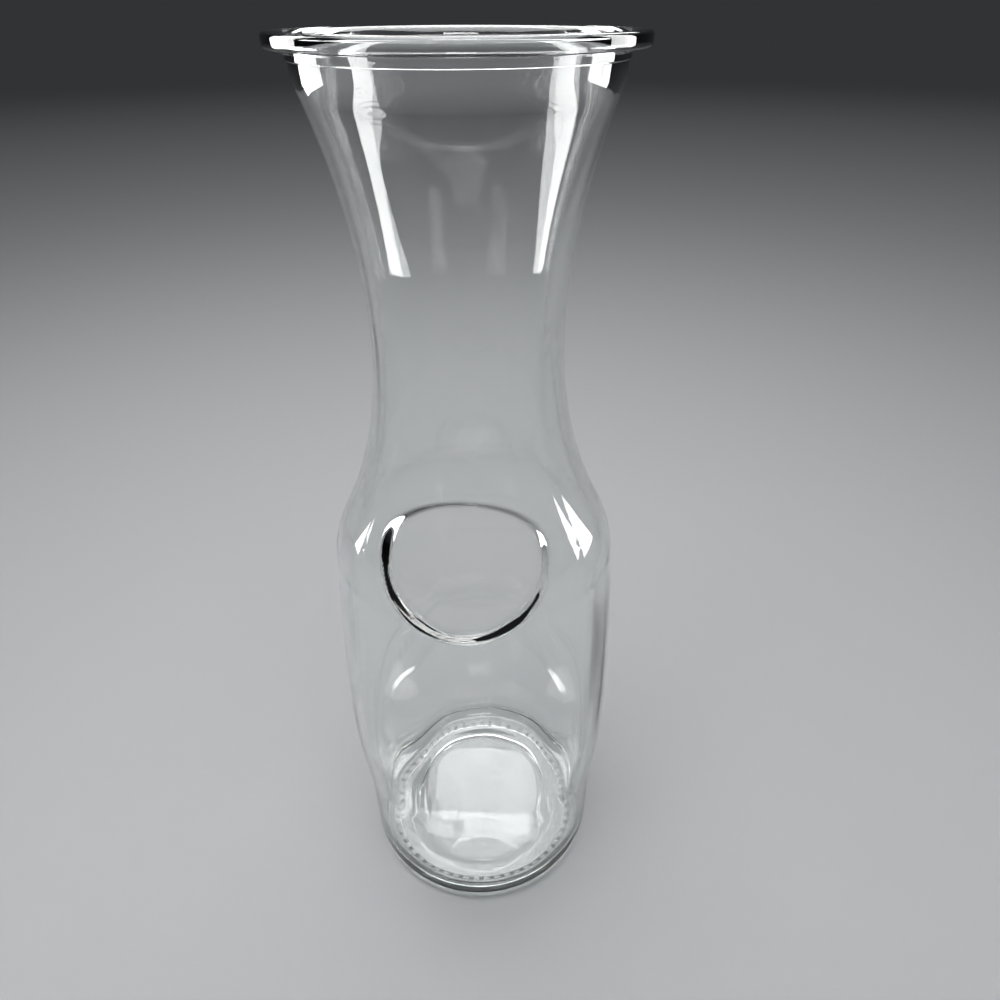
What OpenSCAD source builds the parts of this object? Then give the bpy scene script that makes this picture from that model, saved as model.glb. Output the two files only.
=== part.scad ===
// Water carafe in clear moulded glass: rolled mouth bead, flared neck, round shoulder with a blank
// sunk oval seal, gently barrelled body and a heavy foot with a pushed-up base.
// Origin at the centre of the face it stands on, +Z up, the seal faces -Y. Millimetres.

/* [Mouth] */
// Overall height, from the standing face to the top of the bead
height = 265; // [240:1:290]
// Outside diameter of the mouth bead
rim_d = 76.5; // [72:0.5:88]
// Height of the mouth bead
rim_h = 2.8; // [2.4:0.1:4]
// How far the bead stands out of the band under it
rim_overhang = 3.9; // [2.6:0.1:5]
// Rounding of the bead's two outer edges
rim_edge_r = 0.8; // [0.4:0.1:1]
// Rounding of the bead's inner lip
rim_lip_r = 2.4; // [0.8:0.1:2.6]
// How far the plain band under the bead stands out of the neck
collar_step = 0.5; // [0.2:0.1:1.5]
// Height of the plain band under the bead
collar_h = 1.9; // [1.4:0.1:4]
// Height of the upright ring between that band and the flare
finish_h = 3.1; // [2:0.1:5]

/* [Neck] */
// Outside diameter of the waist, the narrowest place
waist_d = 48; // [42:0.5:54]
// How far the waist lies below the top of the bead
waist_drop = 62; // [48:1:75]
// Radius of the hollow curve from the waist down to the shoulder
neck_hollow_r = 113; // [90:1:130]

/* [Shoulder and body] */
// Radius of the round shoulder
shoulder_r = 35; // [24:1:46]
// Largest outside diameter of the body
body_d = 88.5; // [87:0.5:96]
// Height of the largest diameter
body_z = 66.5; // [58:0.5:80]
// How far the body's long curve narrows from the largest diameter up to the shoulder
body_narrow = 3.28; // [1:0.02:6]
// How far the foot of the shoulder lies below the waist
shoulder_drop = 66; // [60:0.5:72]
// Thickness of the glass wall
wall = 3.2; // [2:0.1:4]

/* [Seal] */
// Half of the seal's width
seal_half_w = 21.2; // [18:0.2:23]
// Half of the seal's height
seal_half_h = 17.4; // [15:0.2:18]
// How much tighter the seal's two side arcs are than half its height
seal_side_in = 2.8; // [1:0.1:5]
// How far the seal's centre lies above the line where the shoulder meets the neck
seal_lift = 2.2; // [0:0.1:6]
// How deep the seal's face is sunk below the shoulder
seal_sink = 1.8; // [0.8:0.1:2.4]
// Thickness of the glass behind the seal's face
seal_wall = 2.4; // [1.8:0.1:3.2]

/* [Foot and base] */
// How far the foot is set in from the body's largest radius
foot_inset = 2.25; // [0.5:0.05:5]
// Height where the straight side of the foot ends
foot_z = 22; // [18:0.5:26]
// Height of the hollow curve between the foot and the body
flare_h = 26; // [10:1:28]
// Rounding of the heel
heel_r = 5; // [3:0.5:7]
// Thickness of the floor where it meets the wall
floor_t = 5.5; // [4.5:0.1:7]
// Rounding of the inside corner between floor and wall
corner_r = 6; // [4:0.5:8]
// Rise of the inside floor towards its centre
floor_rise = 2.4; // [1:0.1:4]
// Rise of the underside towards its centre
pushup_h = 3; // [1:0.1:3.4]
// Diameter of the sunk disc in the middle of the underside
disc_d = 54; // [30:1:56]
// How deep that disc is sunk
disc_step = 0.6; // [0.2:0.1:1]
// Width of the bearing ring that the carafe stands on
bearing_w = 3.6; // [3:0.1:4]
// Height of the bearing ring
bearing_h = 0.8; // [0.6:0.1:1.2]
// Number of stipple grooves around the bearing ring
stipple_n = 56; // [24:2:64]
// Radius of a stipple groove
stipple_r = 0.5; // [0.3:0.05:0.55]
// Plain land left on each side of the stipple grooves
stipple_land = 0.5; // [0.3:0.1:1]

/* [Hidden] */

glass = [0.80, 0.87, 0.85, 0.55];
glass_thick = [0.66, 0.78, 0.74, 0.65];
arc_fn = 1440;
turn_fn = 144;

rim_r = rim_d / 2;
collar_r = rim_r - rim_overhang;
neck_top_r = collar_r - collar_step;
waist_r = waist_d / 2;
body_r = body_d / 2;
foot_r = body_r - foot_inset;
disc_r = disc_d / 2;
rim_z = height - rim_h;
collar_z = rim_z - collar_h;
neck_top_z = collar_z - finish_h;
waist_z = height - waist_drop;
lip_fillet = min(rim_lip_r, 0.9 * rim_h);

// Flare: an arc that leaves the waist upright and passes through the neck's top edge
flare_rise = neck_top_z - waist_z;
flare_reach = neck_top_r - waist_r;
neck_flare_r = (flare_reach ^ 2 + flare_rise ^ 2) / (2 * flare_reach);
flare_turn = asin(flare_rise / neck_flare_r);
flare_c = [waist_r + neck_flare_r, waist_z];

// Inside of the mouth: the flare's inner face goes on straight to the bead, whose inside is upright
mouth_r = neck_top_r - wall * cos(flare_turn);
mouth_z = neck_top_z + wall * sin(flare_turn);
bead_in_r = round(100 * (mouth_r + (rim_z - mouth_z) * tan(flare_turn))) / 100;

// Shoulder circle: touches the body's curve from inside and the neck's hollow from outside
// The body's curve radius is rounded to a hundredth.
hollow_c = [waist_r + neck_hollow_r, waist_z];
body_rise = waist_z - shoulder_drop - body_z;
body_curve_r = round(50 * (body_narrow ^ 2 + body_rise ^ 2) / body_narrow) / 100;
body_c = [body_r - body_curve_r, body_z];
from_body = body_curve_r - shoulder_r;
from_hollow = neck_hollow_r + shoulder_r;
between = norm(hollow_c - body_c);
along = (between ^ 2 + from_body ^ 2 - from_hollow ^ 2) / (2 * between);
aside = sqrt(from_body ^ 2 - along ^ 2);
across = (hollow_c - body_c) / between;
shoulder_c = body_c + along * across + aside * [across.y, -across.x];
body_turn = atan2(shoulder_c.y - body_c.y, shoulder_c.x - body_c.x);
shoulder_turn = atan2(hollow_c.y - shoulder_c.y, hollow_c.x - shoulder_c.x);

// Lower body: a hollow arc above the foot and a full arc below the largest diameter, turning alike.
// The full arc's radius is rounded to a hundredth and the hollow arc takes up the rest.
low_rise = body_z - foot_z;
low_turn = 2 * atan((body_r - foot_r) / low_rise);
low_both_r = low_rise / sin(low_turn);
low_full_r = round(100 * (low_both_r - flare_h / sin(low_turn))) / 100;
low_hollow_r = low_both_r - low_full_r;
low_hollow_c = [foot_r + low_hollow_r, foot_z];
low_full_c = [body_r - low_full_r, body_z];

// Base: the floor disc starts where the inside corner ends
cavity_r = foot_r - wall;
floor_r = cavity_r - corner_r;
floor_z = bearing_h + floor_t;
floor_curve_r = (floor_r ^ 2 + floor_rise ^ 2) / (2 * floor_rise);
pushup_curve_r = (floor_r ^ 2 + pushup_h ^ 2) / (2 * pushup_h);
bearing_r = foot_r - heel_r;
stipple_l = bearing_w - 2 * stipple_land;
stipple_mid_r = bearing_r - bearing_w / 2;

// Four-arc oval of the seal: two side arcs, and a flatter arc above and below that touch them
seal_z = shoulder_c.y + shoulder_r * sin(shoulder_turn) + seal_lift;
seal_side_r = seal_half_h - seal_side_in;
seal_side_x = seal_half_w - seal_side_r;
seal_flat_r = (seal_side_x ^ 2 + seal_half_h ^ 2 - seal_side_r ^ 2) / (2 * seal_side_in);
seal_flat_z = seal_flat_r - seal_half_h;
seal_touch_x = seal_flat_r * seal_side_x / norm([seal_side_x, seal_flat_z]);
seal_back_y = waist_r / 2;
seal_depth = body_r;
// The sunk face always leaves half a millimetre of wall around the seal's edge
seal_deep = min(seal_sink, wall - 0.5);
// Turn of the body's and the neck's curves that the seal reaches over, and facets along each curve
seal_body_turn = asin((seal_half_h + wall) / body_curve_r);
seal_neck_turn = asin((waist_z - seal_z - seal_half_h) / neck_hollow_r) / 2;
seal_steps = 12;

// Part of a ring between two radii and two angles, around a centre in the profile plane
module ring_part(centre, inner, outer, from, to) {
    reach = 1.2 * outer / cos((to - from) / 2);
    translate(centre)
        intersection() {
            difference() {
                circle(outer, $fn = arc_fn);
                circle(inner, $fn = arc_fn);
            }
            polygon([[0, 0], reach * [cos(from), sin(from)], reach * [cos(to), sin(to)]]);
        }
}

// Band of glass on a full curve, from its face inwards
module full_band(centre, r, depth, from, to) {
    ring_part(centre, r - depth, r, from, to);
}

// Band of glass on a hollow curve, whose centre lies outside the glass
module hollow_band(centre, r, depth, from, to) {
    ring_part(centre, r, r + depth, from, to);
}

// Points along an arc, without its first one
function arc_points(centre, r, from, to, steps) = [
    for (i = [1 : steps])
        let (a = from + (to - from) * i / steps)
            centre + r * [cos(a), sin(a)]
];

// The body's outside from below the seal to above it, moved inwards by a distance
function seal_path(deep) = concat(
    arc_points(body_c, body_curve_r - deep, body_turn - seal_body_turn, body_turn, seal_steps),
    arc_points(shoulder_c, shoulder_r - deep, body_turn, shoulder_turn, seal_steps),
    arc_points(hollow_c, neck_hollow_r + deep, 180 + shoulder_turn, 180 + seal_neck_turn, seal_steps)
);
function backwards(list) = [for (i = [len(list) - 1 : -1 : 0]) list[i]];

module turned() {
    rotate_extrude($fn = turn_fn) children();
}

// Quarter of a disc, on the side that the two signs point to
module quarter(r, sx, sy) {
    intersection() {
        circle(r, $fn = turn_fn);
        translate([sx > 0 ? 0 : -r, sy > 0 ? 0 : -r]) square(r);
    }
}

module upper_neck(depth) {
    hollow_band(flare_c, neck_flare_r, depth, 180 - flare_turn, 180);
}

module lower_neck(depth) {
    hollow_band(hollow_c, neck_hollow_r, depth, 180, 180 + shoulder_turn);
}

module shoulder_band(depth) {
    full_band(shoulder_c, shoulder_r, depth, body_turn, shoulder_turn);
}

module upper_body(depth) {
    full_band(body_c, body_curve_r, depth, 0, body_turn);
}

module lower_body(depth) {
    full_band(low_full_c, low_full_r, depth, -low_turn, 0);
}

module foot_flare(depth) {
    hollow_band(low_hollow_c, low_hollow_r, depth, 180 - low_turn, 180);
}

module seal_outline() {
    for (side = [-1, 1])
        translate([side * seal_side_x, 0])
            circle(seal_side_r, $fn = turn_fn);
    intersection() {
        square([2 * seal_touch_x, 2 * seal_half_h], center = true);
        translate([0, -seal_flat_z]) circle(seal_flat_r, $fn = turn_fn);
        translate([0, seal_flat_z]) circle(seal_flat_r, $fn = turn_fn);
    }
}

// Oval prism through the front wall, which cuts the seal's place out of the zones around it
module seal_block() {
    translate([0, -seal_back_y, seal_z])
        rotate([90, 0, 0])
            linear_extrude(seal_depth) seal_outline();
}

// Rolled bead with a straight land around its outside
module mouth_rim() {
    lip_x = bead_in_r + lip_fillet;
    edge_x = rim_r - rim_edge_r;
    color(glass_thick)
        turned()
            translate([0, rim_z]) {
                translate([bead_in_r, 0]) square([lip_fillet, rim_h - lip_fillet]);
                translate([lip_x, 0]) square([edge_x - lip_x, rim_h]);
                translate([edge_x, rim_edge_r]) square([rim_edge_r, rim_h - 2 * rim_edge_r]);
                translate([lip_x, rim_h - lip_fillet]) quarter(lip_fillet, -1, 1);
                translate([edge_x, rim_h - rim_edge_r]) quarter(rim_edge_r, 1, 1);
                translate([edge_x, rim_edge_r]) quarter(rim_edge_r, 1, -1);
            }
}

// Plain band that the bead stands on, over an upright ring
module collar_band() {
    color(glass)
        turned()
            polygon([
                [neck_top_r, neck_top_z],
                [neck_top_r, collar_z],
                [collar_r, collar_z],
                [collar_r, rim_z],
                [bead_in_r, rim_z],
                [mouth_r, mouth_z]
            ]);
}

// Flare above the waist and hollow curve below it, with room for the upper half of the seal
module neck() {
    color(glass)
        difference() {
            turned() {
                upper_neck(wall);
                lower_neck(wall);
            }
            seal_block();
        }
}

// Round shoulder, open in front where the seal lies
module shoulder() {
    color(glass)
        difference() {
            turned()
                shoulder_band(wall);
            seal_block();
        }
}

// Long barrel curve above the largest diameter and the lower curve below it
module body_wall() {
    color(glass)
        difference() {
            turned() {
                upper_body(wall);
                lower_body(wall);
            }
            seal_block();
        }
}

// Blank oval panel, sunk below the shoulder and curved like it
module seal_medallion() {
    color(glass_thick)
        intersection() {
            turned()
                polygon(concat(seal_path(seal_deep + seal_wall), backwards(seal_path(seal_deep))));
            seal_block();
        }
}

// Heel, straight side, inside corner and the flare up to the body
module foot() {
    color(glass_thick)
        turned() {
            foot_flare(wall);
            difference() {
                union() {
                    translate([floor_r, bearing_h]) square([bearing_r - floor_r, foot_z - bearing_h]);
                    translate([bearing_r, bearing_h + heel_r]) {
                        square([heel_r, foot_z - bearing_h - heel_r]);
                        quarter(heel_r, 1, -1);
                    }
                }
                translate([floor_r, floor_z + corner_r]) {
                    square([corner_r, foot_z]);
                    quarter(corner_r, 1, -1);
                }
            }
        }
}

// Pushed-up floor with the sunk disc in its underside
module base_floor() {
    color(glass_thick)
        turned()
            difference() {
                intersection() {
                    translate([0, bearing_h]) square([floor_r, floor_t + floor_rise]);
                    translate([0, floor_z + floor_rise - floor_curve_r]) circle(floor_curve_r, $fn = arc_fn);
                }
                translate([0, bearing_h + pushup_h - pushup_curve_r]) {
                    circle(pushup_curve_r, $fn = arc_fn);
                    intersection() {
                        translate([0, disc_step]) circle(pushup_curve_r, $fn = arc_fn);
                        square([disc_r, 2 * pushup_curve_r]);
                    }
                }
            }
}

// Contact ring with short radial stipple grooves
module bearing_ring() {
    color(glass_thick)
        difference() {
            turned()
                translate([bearing_r - bearing_w, 0]) square([bearing_w, bearing_h]);
            for (i = [0 : stipple_n - 1])
                rotate([0, 0, (i + 0.5) * 360 / stipple_n])
                    translate([stipple_mid_r, 0, 0])
                        rotate([0, 90, 0])
                            cylinder(h = stipple_l, r = stipple_r, center = true, $fn = 24);
        }
}

mouth_rim();
collar_band();
neck();
shoulder();
body_wall();
seal_medallion();
foot();
base_floor();
bearing_ring();
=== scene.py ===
# %% [markdown]
# # A water carafe in clear glass
# The carafe is one piece of moulded soda-lime glass: a rolled bead at the mouth, a flared neck, a round
# shoulder with a blank sunk oval seal, a barrelled body and a heavy foot. The CAD frame gives its size and
# place. This lesson dresses it: one closed glass skin is worked out with numpy, then lit and filmed.

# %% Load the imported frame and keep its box
import bpy
import numpy as np
from mathutils import Matrix, Vector


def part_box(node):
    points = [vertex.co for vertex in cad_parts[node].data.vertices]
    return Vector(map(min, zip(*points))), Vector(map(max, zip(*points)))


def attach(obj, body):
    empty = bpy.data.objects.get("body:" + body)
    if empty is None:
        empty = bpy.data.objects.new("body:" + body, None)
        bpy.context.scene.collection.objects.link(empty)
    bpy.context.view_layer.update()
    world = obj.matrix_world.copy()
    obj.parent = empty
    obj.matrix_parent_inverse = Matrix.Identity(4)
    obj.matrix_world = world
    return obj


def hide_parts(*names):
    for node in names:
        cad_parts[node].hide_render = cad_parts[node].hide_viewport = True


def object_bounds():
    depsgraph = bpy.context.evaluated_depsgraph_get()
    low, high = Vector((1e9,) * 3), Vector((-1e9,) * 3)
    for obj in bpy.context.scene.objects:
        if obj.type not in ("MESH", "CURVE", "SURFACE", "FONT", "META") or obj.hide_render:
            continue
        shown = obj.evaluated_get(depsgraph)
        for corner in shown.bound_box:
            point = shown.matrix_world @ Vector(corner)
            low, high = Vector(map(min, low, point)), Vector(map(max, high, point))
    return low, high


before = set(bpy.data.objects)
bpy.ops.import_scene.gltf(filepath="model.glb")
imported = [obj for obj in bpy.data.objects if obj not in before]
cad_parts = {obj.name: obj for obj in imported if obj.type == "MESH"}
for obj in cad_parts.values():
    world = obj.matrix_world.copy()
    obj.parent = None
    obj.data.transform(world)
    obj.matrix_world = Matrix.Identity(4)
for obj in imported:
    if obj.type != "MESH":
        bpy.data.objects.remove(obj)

cad_low, cad_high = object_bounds()
MM = 0.001
print("CAD box in mm:", [round(v / MM, 1) for v in cad_high - cad_low])

# %% [markdown]
# ## Sizes
# Everything that the frame can tell is read from the boxes of its nodes. The rest repeats the driving
# sizes of the part, in millimetres, so that the skin runs along the same tangent arcs as the solids.

# %% Sizes read from the frame, in millimetres
def size_of(node):
    """Lowest and highest corner of a CAD node, in millimetres."""
    low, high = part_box(node)
    return np.array(low) / MM, np.array(high) / MM


height = cad_high.z / MM
rim_low, rim_high = size_of("mouth_rim")
collar_low, collar_high = size_of("collar_band")
seal_low, seal_high = size_of("seal_medallion")
ring_high = size_of("bearing_ring")[1]

rim_r, rim_z = rim_high[0], rim_low[2]
collar_r, neck_top_z = collar_high[0], collar_low[2]
body_r = size_of("body_wall")[1][0]
floor_r = size_of("base_floor")[1][0]
bearing_r, bearing_h = ring_high[0], ring_high[2]
seal_z = (seal_low[2] + seal_high[2]) / 2
seal_half_w, seal_half_h = seal_high[0], (seal_high[2] - seal_low[2]) / 2
print("height", round(height, 1), "mouth", round(2 * rim_r, 1), "body", round(2 * body_r, 1))

# %% The part's driving sizes, in millimetres
wall = 3.2  # thickness of the glass
collar_h, collar_step = 1.9, 0.5  # band under the bead: its height, and how far it stands out
waist_r, waist_drop = 24.0, 62.0  # narrowest place of the neck, and its depth below the mouth
neck_hollow_r, shoulder_r = 113.0, 35.0  # arcs below the waist and round the shoulder
body_z, body_narrow = 66.5, 3.28  # height of the widest ring, and how far the barrel draws in above it
shoulder_drop = 66.0  # from the waist down to the level where the barrel has drawn in
foot_inset, foot_z, flare_h = 2.25, 22.0, 26.0  # foot inside the body, top of its side, height of its flare
heel_r, corner_r = 5.0, 6.0  # roundings of the heel and of the inside corner
floor_t, floor_rise, pushup_h = 5.5, 2.4, 3.0  # floor's thickness, its crown inside and its hollow below
disc_r, disc_step = 27.0, 0.6  # sunk disc under the base
bearing_w = 3.6  # width of the ring that the carafe stands on
collar_z = rim_z - collar_h
waist_z = height - waist_drop
print("waist", 2 * waist_r, "mm wide at", round(waist_z, 1), "mm")

# %% [markdown]
# ## The camera
# The view is steep and close: a 25 mm lens on a 36 mm sensor, about 320 mm from the foot, level with the
# mouth and looking 35 degrees down. The place comes from fitting the outline. One matrix sets it, because a
# matrix keeps the order of the turns plain.

# %% Camera
CAMERA_AT = Vector((7.8, -166.7, 268.8)) * MM
LOOK_DOWN_DEG = 35.26
ROLL_DEG = -0.21
AROUND_DEG = 2.5
SENSOR_MM = 36.0
FOCAL_SHARE = 0.7
NEAREST_M = 0.01

camera_data = bpy.data.cameras.new("camera")
camera_data.sensor_width = SENSOR_MM
camera_data.lens = SENSOR_MM * FOCAL_SHARE
camera_data.clip_start = NEAREST_M
camera = bpy.data.objects.new("camera", camera_data)
tilt = Matrix.Rotation(np.radians(90 - LOOK_DOWN_DEG), 4, "X")
around = Matrix.Rotation(np.radians(AROUND_DEG), 4, "Z")
roll = Matrix.Rotation(np.radians(ROLL_DEG), 4, "Z")
camera.matrix_world = around @ Matrix.Translation(CAMERA_AT) @ tilt @ roll
bpy.context.scene.collection.objects.link(camera)
bpy.context.scene.camera = camera
print("camera lens", camera_data.lens, "mm")

# %% [markdown]
# ## The profile as tangent arcs
# A mould maker draws such a form as arcs that run into each other without a kink. It could be drawn as a
# spline, but arcs keep to the sizes of the part. Each arc is a centre, a radius and two angles. The inside
# keeps the same centres with the wall added to or taken off the radius, so the wall is even.

# %% Stretches of a profile, in the plane of radius and height
def arc(centre, r, start, end, steps):
    """Points on a circle: centre plus r times (cos, sin) of evenly spaced angles in degrees."""
    a = np.radians(np.linspace(start, end, steps + 1))
    return np.column_stack([centre[0] + r * np.cos(a), centre[1] + r * np.sin(a)])


def line(p, q, steps):
    """Evenly spaced points from p to q."""
    t = np.linspace(0, 1, steps + 1)[:, None]
    return (1 - t) * np.array(p) + t * np.array(q)


def join(*stretches):
    """One list of points: every stretch after the first leaves out its first point."""
    return np.vstack([stretches[0]] + [s[1:] for s in stretches[1:]])


print("a quarter of a circle in two steps:", arc((0, 0), 1, 0, 90, 2).round(2).tolist())


# %% A line with rounded corners
def rounded(points, radii, steps=4):
    """A line through the points whose corners are arcs.

    Each arc touches both sides at r / tan(half the corner's angle) from the corner, and its centre lies
    r / sin(half the angle) from the corner on the line that halves it.
    """
    points = [np.array(p, float) for p in points]
    out = [points[0][None]]
    for before, corner, after, r in zip(points, points[1:], points[2:], radii):
        u = (before - corner) / np.linalg.norm(before - corner)
        v = (after - corner) / np.linalg.norm(after - corner)
        half = np.arccos(np.clip(u @ v, -1, 1)) / 2
        middle = corner + (u + v) / np.linalg.norm(u + v) * r / np.sin(half)
        first = corner + u * r / np.tan(half) - middle
        last = corner + v * r / np.tan(half) - middle
        sweep = np.arctan2(first[0] * last[1] - first[1] * last[0], first @ last)
        a = np.linspace(0, sweep, steps + 1)[:, None]
        out.append(middle + np.cos(a) * first + np.sin(a) * np.array([-first[1], first[0]]))
    return np.vstack(out + [points[-1][None]])


print("points of one rounded corner:", len(rounded([(0, 0), (1, 0), (1, 1)], [0.2])))

# %% [markdown]
# ## Centres of the arcs
# The waist, the widest ring and the foot are given. An arc that starts upright and has to reach sideways by
# some amount over some rise has the radius (reach squared plus rise squared) over twice the reach. The
# shoulder touches the barrel from inside and the neck from outside, so its centre is where two circles cross.

# %% Flare, hollow neck, barrel and shoulder
neck_top_r = collar_r - collar_step
flare_rise, flare_reach = neck_top_z - waist_z, neck_top_r - waist_r
neck_flare_r = (flare_reach**2 + flare_rise**2) / (2 * flare_reach)
flare_turn = np.degrees(np.arcsin(flare_rise / neck_flare_r))
flare_c = np.array([waist_r + neck_flare_r, waist_z])
hollow_c = np.array([waist_r + neck_hollow_r, waist_z])

body_rise = waist_z - shoulder_drop - body_z
body_curve_r = (body_narrow**2 + body_rise**2) / (2 * body_narrow)
body_c = np.array([body_r - body_curve_r, body_z])
from_body, from_hollow = body_curve_r - shoulder_r, neck_hollow_r + shoulder_r
across = hollow_c - body_c
between = np.linalg.norm(across)
across = across / between
along = (between**2 + from_body**2 - from_hollow**2) / (2 * between)
aside = np.sqrt(from_body**2 - along**2)
shoulder_c = body_c + along * across + aside * np.array([across[1], -across[0]])
body_turn = np.degrees(np.arctan2(*(shoulder_c - body_c)[::-1]))
shoulder_turn = np.degrees(np.arctan2(*(hollow_c - shoulder_c)[::-1]))
print("shoulder centre", shoulder_c.round(1), "turns", round(body_turn, 1), round(shoulder_turn, 1))

# %% Lower body: a full arc that runs into a hollow one
foot_r = body_r - foot_inset
low_rise = body_z - foot_z
low_turn = 2 * np.degrees(np.arctan(foot_inset / low_rise))
low_hollow_r = flare_h / np.sin(np.radians(low_turn))
low_full_r = (low_rise - flare_h) / np.sin(np.radians(low_turn))
low_hollow_c = np.array([foot_r + low_hollow_r, foot_z])
low_full_c = np.array([body_r - low_full_r, body_z])
print("lower body turns", round(low_turn, 1), "degrees in and back")

# %% [markdown]
# ## From the standing ring up to the lip
# The outside starts at the middle of the pushed-up base, crosses the sunk disc and the ring that the carafe
# stands on, rounds the heel and climbs the body. The last number of each stretch is its count of rows. Rows
# lie close together where the seal will be sunk.

# %% Caps of the floor
pushup_r = (floor_r**2 + pushup_h**2) / (2 * pushup_h)
floor_curve_r = (floor_r**2 + floor_rise**2) / (2 * floor_rise)
floor_z = bearing_h + floor_t


def dome(r, foot_height, rise, curve_r):
    """Height of a spherical cap at radius r: it stands rise high over a foot circle at foot_height."""
    return foot_height + rise - curve_r + np.sqrt(curve_r**2 - r**2)


def cap(r_start, r_end, foot_height, rise, curve_r, steps):
    """Points along such a cap between two radii."""
    r = np.linspace(r_start, r_end, steps + 1)
    return np.column_stack([r, dome(r, foot_height, rise, curve_r)])


print("floor starts at", round(floor_z, 1), "mm and curves with radius", round(floor_curve_r), "mm")

# %% Base and foot
STAND_SLOPE = 0.4
STAND_ROOT_R, STAND_EDGE_R = 0.2, 0.3
ring_in_r = bearing_r - bearing_w
under_disc = cap(0, disc_r - disc_step / 2, bearing_h + disc_step, pushup_h, pushup_r, 8)
under_ring = cap(disc_r + disc_step / 2, floor_r, bearing_h, pushup_h, pushup_r, 3)
stand = rounded(
    [(floor_r, bearing_h), (ring_in_r, bearing_h), (ring_in_r + STAND_SLOPE, 0),
     (bearing_r - STAND_SLOPE, 0), (bearing_r, bearing_h)],
    [STAND_ROOT_R, STAND_EDGE_R, STAND_EDGE_R], steps=2)
heel = arc((bearing_r, bearing_h + heel_r), heel_r, -90, 0, 10)
side = line((foot_r, bearing_h + heel_r), (foot_r, foot_z), 3)
low_hollow = arc(low_hollow_c, low_hollow_r, 180, 180 - low_turn, 6)
low_full = arc(low_full_c, low_full_r, -low_turn, 0, 5)
print("foot", round(2 * foot_r, 1), "mm wide on a ring of", round(2 * bearing_r, 1), "mm")

# %% Body, shoulder and neck
SEAL_MARGIN = 3.0
seal_reach = seal_half_h + SEAL_MARGIN
seal_start = np.degrees(np.arcsin((seal_z - seal_reach - body_z) / body_curve_r))
barrel = arc(body_c, body_curve_r, 0, seal_start, 10)
barrel_top = arc(body_c, body_curve_r, seal_start, body_turn, 9)
shoulder = arc(shoulder_c, shoulder_r, body_turn, shoulder_turn, 23)
seal_end = np.degrees(np.arcsin((waist_z - seal_z - seal_reach) / neck_hollow_r))
neck_low = arc(hollow_c, neck_hollow_r, 180 + shoulder_turn, 180 + seal_end, 44)
neck_mid = arc(hollow_c, neck_hollow_r, 180 + seal_end, 180, 6)
neck_high = arc(flare_c, neck_flare_r, 180, 180 - flare_turn, 14)
print("shoulder runs from", round(shoulder[0, 1], 1), "to", round(shoulder[-1, 1], 1), "mm")

# %% [markdown]
# ## Mouth
# The mouth is pressed in the mould and then melted smooth: an upright ring, a plain band and a bead that
# rolls inwards. Corners with a radius each are enough for it, and each radius is one that the eye can see.

# %% Mouth
STEP_R, UNDER_BEAD_R = 0.2, 0.4
RIM_EDGE_R, RIM_LIP_R = 0.8, 2.4
mouth_r = neck_top_r - wall * np.cos(np.radians(flare_turn))
mouth_z = neck_top_z + wall * np.sin(np.radians(flare_turn))
bead_in_r = mouth_r + (rim_z - mouth_z) * np.tan(np.radians(flare_turn))
mouth = rounded(
    [(neck_top_r, neck_top_z), (neck_top_r, collar_z), (collar_r, collar_z), (collar_r, rim_z),
     (rim_r, rim_z), (rim_r, height), (bead_in_r, height), (bead_in_r, rim_z), (mouth_r, mouth_z)],
    [STEP_R, STEP_R, UNDER_BEAD_R, RIM_EDGE_R, RIM_EDGE_R, RIM_LIP_R, STEP_R])
outside = join(
    under_disc, np.vstack([under_disc[-1], under_ring]), stand, heel, side, low_hollow, low_full,
    barrel, barrel_top, shoulder, neck_low, neck_mid, neck_high, mouth)
print("rows outside:", len(outside))

# %% [markdown]
# ## Inside
# Air blew the inside, so it follows the outside at one wall's distance and has no seal of its own. It could be
# made by giving the outside a thickness, but that would copy the seal and the mouth's steps to the inside.

# %% Inside of the glass, from the mouth down to the middle of the floor
inside = join(
    arc(flare_c, neck_flare_r + wall, 180 - flare_turn, 180, 10),
    arc(hollow_c, neck_hollow_r + wall, 180, 180 + shoulder_turn, 12),
    arc(shoulder_c, shoulder_r - wall, shoulder_turn, body_turn, 7),
    arc(body_c, body_curve_r - wall, body_turn, 0, 9),
    arc(low_full_c, low_full_r - wall, 0, -low_turn, 4),
    arc(low_hollow_c, low_hollow_r + wall, 180 - low_turn, 180, 4),
    line((foot_r - wall, foot_z), (foot_r - wall, floor_z + corner_r), 2),
    arc((floor_r, floor_z + corner_r), corner_r, 0, -90, 7),
    cap(floor_r, 0, floor_z, floor_rise, floor_curve_r, 8))
profile = join(outside, inside)
inside_row = len(outside)
print("rows in all:", len(profile))

# %% [markdown]
# ## Turning the profile into a skin
# Turning is one outer product: every row's radius times the cosine and sine of every column's angle. The two
# rows on the axis shrink to one point each, so the skin is closed at its poles. The normal of each row is
# its step along the profile, turned by a right angle.

# %% The turned grid
COLUMNS = 392
turn = np.arange(COLUMNS) * 2 * np.pi / COLUMNS - np.pi / 2
radius, level = profile[1:-1, 0][:, None], profile[1:-1, 1][:, None]
rows = np.arange(1, len(profile) - 1)[:, None]
step = np.gradient(profile, axis=0)[1:-1]
normal_r = (step[:, 1] / np.linalg.norm(step, axis=1))[:, None]
normal_z = (-step[:, 0] / np.linalg.norm(step, axis=1))[:, None]
print("grid of", len(rows), "rows and", COLUMNS, "columns")

# %% [markdown]
# ## The sunk seal
# The seal is a blank oval panel, pressed into the shoulder by the mould. It could be cut out with a boolean,
# but that leaves hard edges. Here its outline is drawn from four arcs, seen straight from the front. The
# distance to that outline gives the depth: full inside, nothing outside, and a smooth slope on the edge. A
# steep edge sends light round inside the wall, which shows as a dark crescent.

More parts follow.
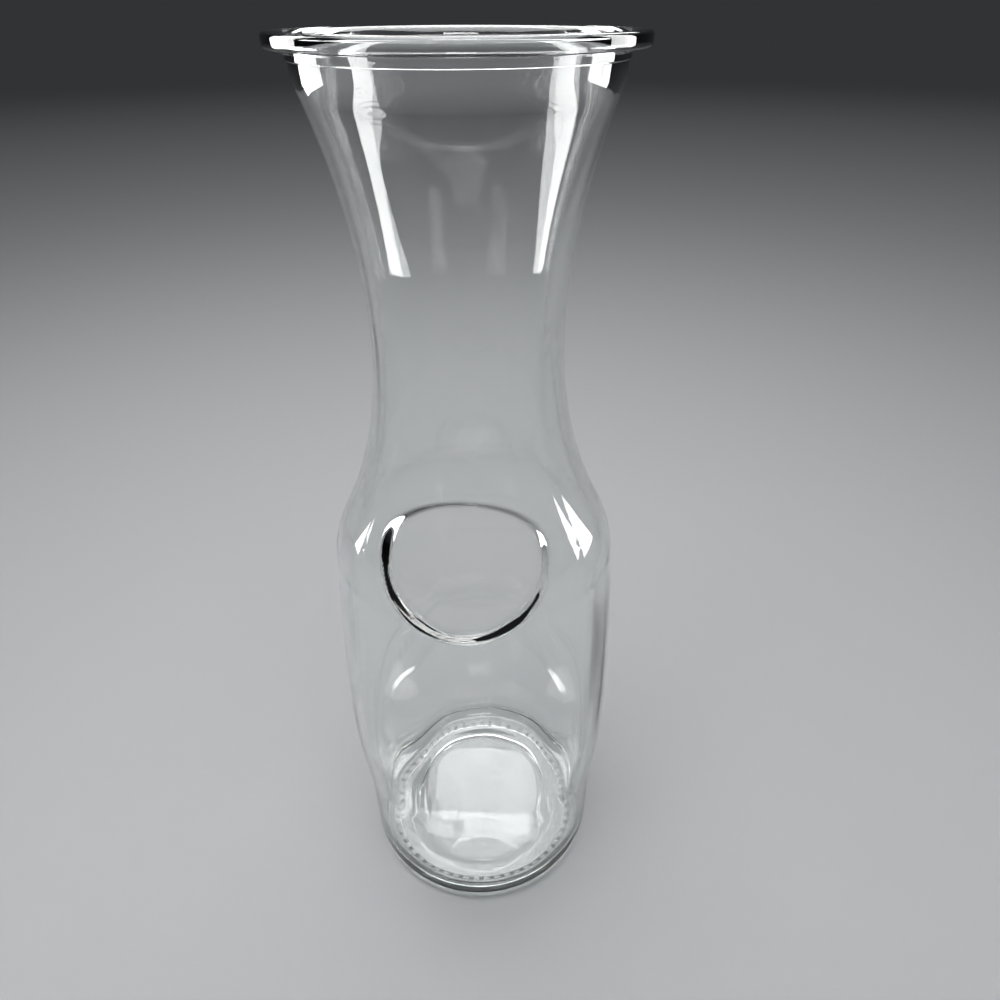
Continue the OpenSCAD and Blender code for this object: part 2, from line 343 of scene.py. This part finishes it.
# %% Outline of the seal
SEAL_SIDE_IN = 2.8
seal_side_r = seal_half_h - SEAL_SIDE_IN
seal_side_x = seal_half_w - seal_side_r
seal_flat_r = (seal_side_x**2 + seal_half_h**2 - seal_side_r**2) / (2 * SEAL_SIDE_IN)
seal_flat_z = seal_flat_r - seal_half_h


def oval_distance(x, z):
    """Distance outside the four-arc oval.

    It is measured to the side circle beyond the line through both centres, and else to the flat circle.
    """
    x, z = np.abs(x), np.abs(z)
    to_side = np.hypot(x - seal_side_x, z) - seal_side_r
    to_flat = np.hypot(x, z + seal_flat_z) - seal_flat_r
    return np.where(x * seal_flat_z > (z + seal_flat_z) * seal_side_x, to_side, to_flat)


print("seal", round(2 * seal_half_w, 1), "by", round(2 * seal_half_h, 1), "mm")

# %% Depth of the seal
SEAL_SINK_MID, SEAL_SINK_END = 2.6, 1.7
SEAL_SLOPE = 2.3


def smooth_step(t):
    """3t^2 - 2t^3 between 0 and 1."""
    t = np.clip(t, 0, 1)
    return t * t * (3 - 2 * t)


x, y = radius * np.cos(turn), radius * np.sin(turn)
on_front = (y < 0) & (rows < inside_row - len(mouth))
sink_share = smooth_step(0.5 - oval_distance(x, level - seal_z) / SEAL_SLOPE)
off_middle = np.clip((level - seal_z) / seal_half_h, -1, 1)
sink = SEAL_SINK_END + (SEAL_SINK_MID - SEAL_SINK_END) * (1 - off_middle**2)
push = np.where(on_front, -sink * sink_share, 0.0)
print("seal sunk by up to", round(-push.min(), 2), "mm")

# %% [markdown]
# ## Stipple
# Short grooves across the standing ring keep hot glass off the belt. They could be a bump in the material, but
# the ring's edge shows through the foot, so they are in the mesh. The ring has rows of points at its two edges
# only, so the grooves come out shallower than their full depth, which the print gives.

# %% Grooves in the standing ring
STIPPLES = 56
STIPPLE_DEEP = 0.45
GROOVE_SHARE = 0.3
CONTACT_BELOW = 0.05
ring_mid = bearing_r - bearing_w / 2
on_ring = np.exp(-(((radius - ring_mid) / (bearing_w * GROOVE_SHARE)) ** 4)) * (level < CONTACT_BELOW)
lift = STIPPLE_DEEP * on_ring * smooth_step(np.cos(STIPPLES * turn))
print(STIPPLES, "grooves, up to", round(lift.max(), 2), "mm deep")

# %% [markdown]
# ## Waves
# The inside was shaped by air alone, with no mould against it, so it carries slow waves that bend what is seen
# through the wall. Each wave has a count round the axis, a length up the wall, a phase and an amount. They
# fade out towards the foot, where the thick glass is even.

# %% Waves on the inside
WAVES = [(3, 160.0, 0.3, 0.09), (7, 120.0, 1.9, 0.06), (11, 190.0, 4.0, 0.05), (17, 140.0, 2.6, 0.03)]
WAVE_FROM, WAVE_FULL = 30.0, 110.0
wave = sum(
    amount * np.cos(count * turn + phase + np.sin(2 * np.pi * level / length + 2 * phase))
    for count, length, phase, amount in WAVES)
wave_share = smooth_step((level - WAVE_FROM) / (WAVE_FULL - WAVE_FROM))
inside_wave = np.where(rows >= inside_row, wave * wave_share, 0.0)
push = push + inside_wave
print("waves of up to", round(np.abs(inside_wave).max(), 2), "mm")

# %% [markdown]
# ## One closed mesh
# Glass bends light at every face, so a face between two pieces would show as a line. One closed skin with its
# faces outwards has none. Every point moves along its row's normal, and whole arrays go into the mesh.

# %% Grid of points to one closed mesh
def closed_skin(name, grid, first_pole, last_pole):
    """Quads between neighbouring rows and columns, and a fan of triangles at each pole."""
    count, columns = grid.shape[:2]
    index = np.arange(count * columns).reshape(count, columns)
    ahead = np.roll(index, -1, axis=1)
    quads = np.stack([index[:-1], ahead[:-1], ahead[1:], index[1:]], axis=-1).reshape(-1, 4)
    first, last = count * columns, count * columns + 1
    fan_first = np.column_stack([ahead[0], index[0], np.full(columns, first)])
    fan_last = np.column_stack([index[-1], ahead[-1], np.full(columns, last)])
    vertices = np.vstack([grid.reshape(-1, 3), first_pole, last_pole]) * MM
    mesh = bpy.data.meshes.new(name)
    mesh.from_pydata(vertices.tolist(), [], quads.tolist() + fan_first.tolist() + fan_last.tolist())
    mesh.polygons.foreach_set("use_smooth", np.ones(len(mesh.polygons), bool))
    piece = bpy.data.objects.new(name, mesh)
    bpy.context.scene.collection.objects.link(piece)
    print(name, "has", len(mesh.polygons), "faces")
    return piece


r_moved = radius + push * normal_r
points = np.stack([
    r_moved * np.cos(turn),
    r_moved * np.sin(turn),
    np.broadcast_to(level + push * normal_z + lift, r_moved.shape)], axis=-1)
glass_skin = closed_skin("carafe_glass", points, (0, 0, profile[0, 1]), (0, 0, profile[-1, 1]))

# %% [markdown]
# ## Soda-lime glass
# The glass is moulded and then fire-polished, so its surface is smooth. It bends light with an index of
# 1.52 and swallows a little red, so thick edges look faintly green. The green could be the surface colour,
# but then thin and thick glass would look alike. Absorption in the volume makes it grow with the way
# through the glass.

# %% Helpers for materials
def linear(hex_colour):
    """sRGB hex to linear: c / 12.92 below 0.04045, else ((c + 0.055) / 1.055) to the power 2.4."""
    c = np.array([int(hex_colour[i:i + 2], 16) for i in (1, 3, 5)]) / 255
    return (*np.where(c <= 0.04045, c / 12.92, ((c + 0.055) / 1.055) ** 2.4), 1.0)


def add_node(tree, kind, settings=None, links=None):
    """One node: settings go to its sockets or its own properties, links join other sockets to its inputs."""
    node = tree.nodes.new(kind)
    for key, value in (settings or {}).items():
        if key in node.inputs:
            node.inputs[key].default_value = value
        else:
            setattr(node, key, value)
    for key, source in (links or {}).items():
        tree.links.new(source, node.inputs[key])
    return node


def new_material(name):
    """An empty material and its node tree."""
    material = bpy.data.materials.new(name)
    material.use_nodes = True
    material.node_tree.nodes.clear()
    return material, material.node_tree


print("middle grey in linear light:", round(float(linear("#808080")[0]), 3))

# %% Glass material
# Clear and smooth: sharp reflections, no haze, and a faint green where the glass is thick.
GLASS_IOR = 1.52
GREEN_PER_M = 8.0
glass, tree = new_material("soda_lime_glass")
shader = add_node(tree, "ShaderNodeBsdfPrincipled", {
    "Base Color": linear("#FFFFFF"), "Transmission Weight": 1.0, "Roughness": 0.0, "IOR": GLASS_IOR})
tint = add_node(tree, "ShaderNodeVolumeAbsorption", {"Color": linear("#C4E6D6"), "Density": GREEN_PER_M})
add_node(tree, "ShaderNodeOutputMaterial", links={"Surface": shader.outputs[0], "Volume": tint.outputs[0]})
glass_skin.data.materials.append(glass)
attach(glass_skin, "root")
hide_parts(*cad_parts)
print("glass stands for", len(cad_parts), "nodes")

# %% [markdown]
# ## Floor
# Clear glass is drawn by what stands around it, and the floor fills most of this view. It is a pale matt
# sheet. A gloss would mirror the lamps and a far edge would show as a line, so it has no gloss and fades out.

# %% Floor
# Matt paint: an even pale grey that keeps the soft shadow.
FLOOR_R = 4.0
FADE_FROM, FADE_TO = 1.2, 3.6
corners = [(-FLOOR_R, -FLOOR_R, 0), (FLOOR_R, -FLOOR_R, 0), (FLOOR_R, FLOOR_R, 0), (-FLOOR_R, FLOOR_R, 0)]
floor_mesh = bpy.data.meshes.new("floor")
floor_mesh.from_pydata(corners, [], [(0, 1, 2, 3)])
floor = bpy.data.objects.new("floor", floor_mesh)
bpy.context.scene.collection.objects.link(floor)
paint, tree = new_material("matt_studio_floor")
shader = add_node(tree, "ShaderNodeBsdfPrincipled", {
    "Base Color": linear("#B2B3B5"), "Roughness": 0.9, "Specular IOR Level": 0.0})
place = add_node(tree, "ShaderNodeTexCoord")
away = add_node(tree, "ShaderNodeVectorMath", {"operation": "LENGTH"}, {0: place.outputs["Object"]})
fade = add_node(
    tree, "ShaderNodeMapRange",
    {"interpolation_type": "SMOOTHSTEP", "From Min": FADE_FROM, "From Max": FADE_TO},
    {"Value": away.outputs["Value"]})
nothing = add_node(tree, "ShaderNodeBsdfTransparent")
mixed = add_node(
    tree, "ShaderNodeMixShader", links={0: fade.outputs[0], 1: shader.outputs[0], 2: nothing.outputs[0]})
add_node(tree, "ShaderNodeOutputMaterial", links={"Surface": mixed.outputs[0]})
floor_mesh.materials.append(paint)
print("floor fades out from", FADE_FROM, "to", FADE_TO, "m")

# %% [markdown]
# ## Light and surroundings
# Five soft boxes give bright strips down the neck, and dim grey surroundings give the dark lines along the
# edges. Only the box overhead lights the floor. The other four show in the glass alone, so that they can be as
# bright as the strips need without a second shadow.

# %% Lamps
def soft_box(name, at, towards, width, tall, watts, on_floor=True):
    """A rectangular lamp at a place, turned to face a point, all in metres."""
    lamp = bpy.data.lights.new(name, "AREA")
    lamp.shape, lamp.size, lamp.size_y, lamp.energy = "RECTANGLE", width, tall, watts
    box = bpy.data.objects.new(name, lamp)
    facing = (Vector(towards) - Vector(at)).to_track_quat("-Z", "Y")
    box.matrix_world = Matrix.Translation(Vector(at)) @ facing.to_matrix().to_4x4()
    box.visible_camera = False
    box.visible_diffuse = on_floor
    bpy.context.scene.collection.objects.link(box)
    print(name, "gives", watts, "watts")


soft_box("left_box", (-0.85, 0.3, 0.48), (0, 0, 0.48), 0.45, 0.94, 14.0, on_floor=False)
soft_box("right_box", (0.85, 0.3, 0.48), (0, 0, 0.48), 0.4, 0.94, 12.0, on_floor=False)
soft_box("back_box", (0.02, 0.5, 0.72), (0, 0, 0), 0.7, 0.5, 7.0, on_floor=False)
soft_box("top_box", (-0.05, 0.0, 0.85), (0, 0, 0), 0.7, 0.7, 8.0)
soft_box("front_box", (0.05, -0.75, 0.95), (0, 0, 0.2), 0.4, 0.2, 4.0, on_floor=False)

# %% Surroundings, darker at the horizon than overhead
DARK_UP_TO, PALE_FROM = 0.15, 1.0
world = bpy.data.worlds.new("studio")
bpy.context.scene.world = world
world.use_nodes = True
tree = world.node_tree
place = add_node(tree, "ShaderNodeTexCoord")
parts = add_node(tree, "ShaderNodeSeparateXYZ", links={0: place.outputs["Generated"]})
up_share = add_node(
    tree, "ShaderNodeMapRange",
    {"interpolation_type": "SMOOTHSTEP", "From Min": DARK_UP_TO, "From Max": PALE_FROM},
    {"Value": parts.outputs["Z"]})
room = add_node(tree, "ShaderNodeMix", {"data_type": "RGBA"}, {0: up_share.outputs[0]})
room.inputs[6].default_value = linear("#323335")
room.inputs[7].default_value = linear("#8C8E90")
tree.links.new(room.outputs[2], tree.nodes["Background"].inputs["Color"])
bpy.context.scene.view_settings.view_transform = "Standard"
print("surroundings set, view transform", bpy.context.scene.view_settings.view_transform)
